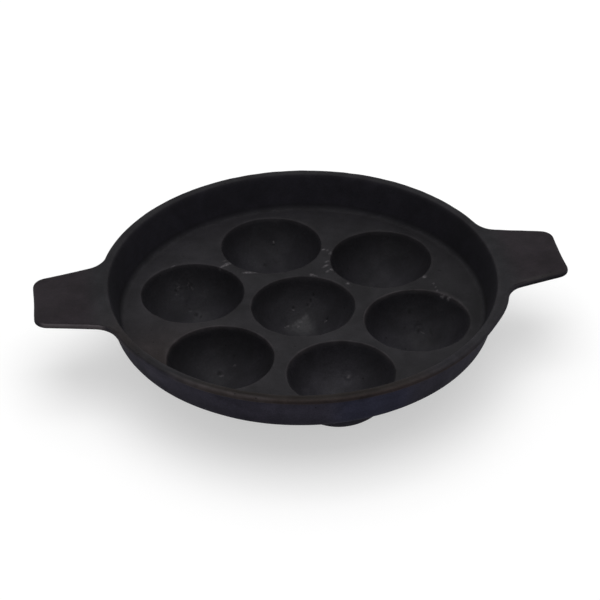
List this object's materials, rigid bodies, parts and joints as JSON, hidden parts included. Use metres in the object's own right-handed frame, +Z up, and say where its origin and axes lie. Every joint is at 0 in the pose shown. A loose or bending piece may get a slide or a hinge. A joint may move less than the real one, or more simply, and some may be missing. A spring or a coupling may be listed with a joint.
{
  "type": "aebleskiver pan",
  "caption": "Round cast-iron pan with hemispherical cups sunk in a shallow walled tray and a flat tab handle on each side, for baking round filled pancakes on a stove.",
  "frame": {"origin": "under the middle of the pan, on the plane that the ground flats of the cups stand on", "axes": "+X along the line of the two handles, +Z up out of the open tray, +Y across the handles"},
  "size_m": [0.294, 0.225, 0.0479],
  "materials": {
    "cast_iron": "raw sand-cast iron with a matt black oil seasoning, slightly satin on the rim, the lip and the edges of the handles, with a few bright scuffs between the cups"
  },
  "bodies": {
    "root": {"pan": "cast_iron"}
  },
  "joints": []
}
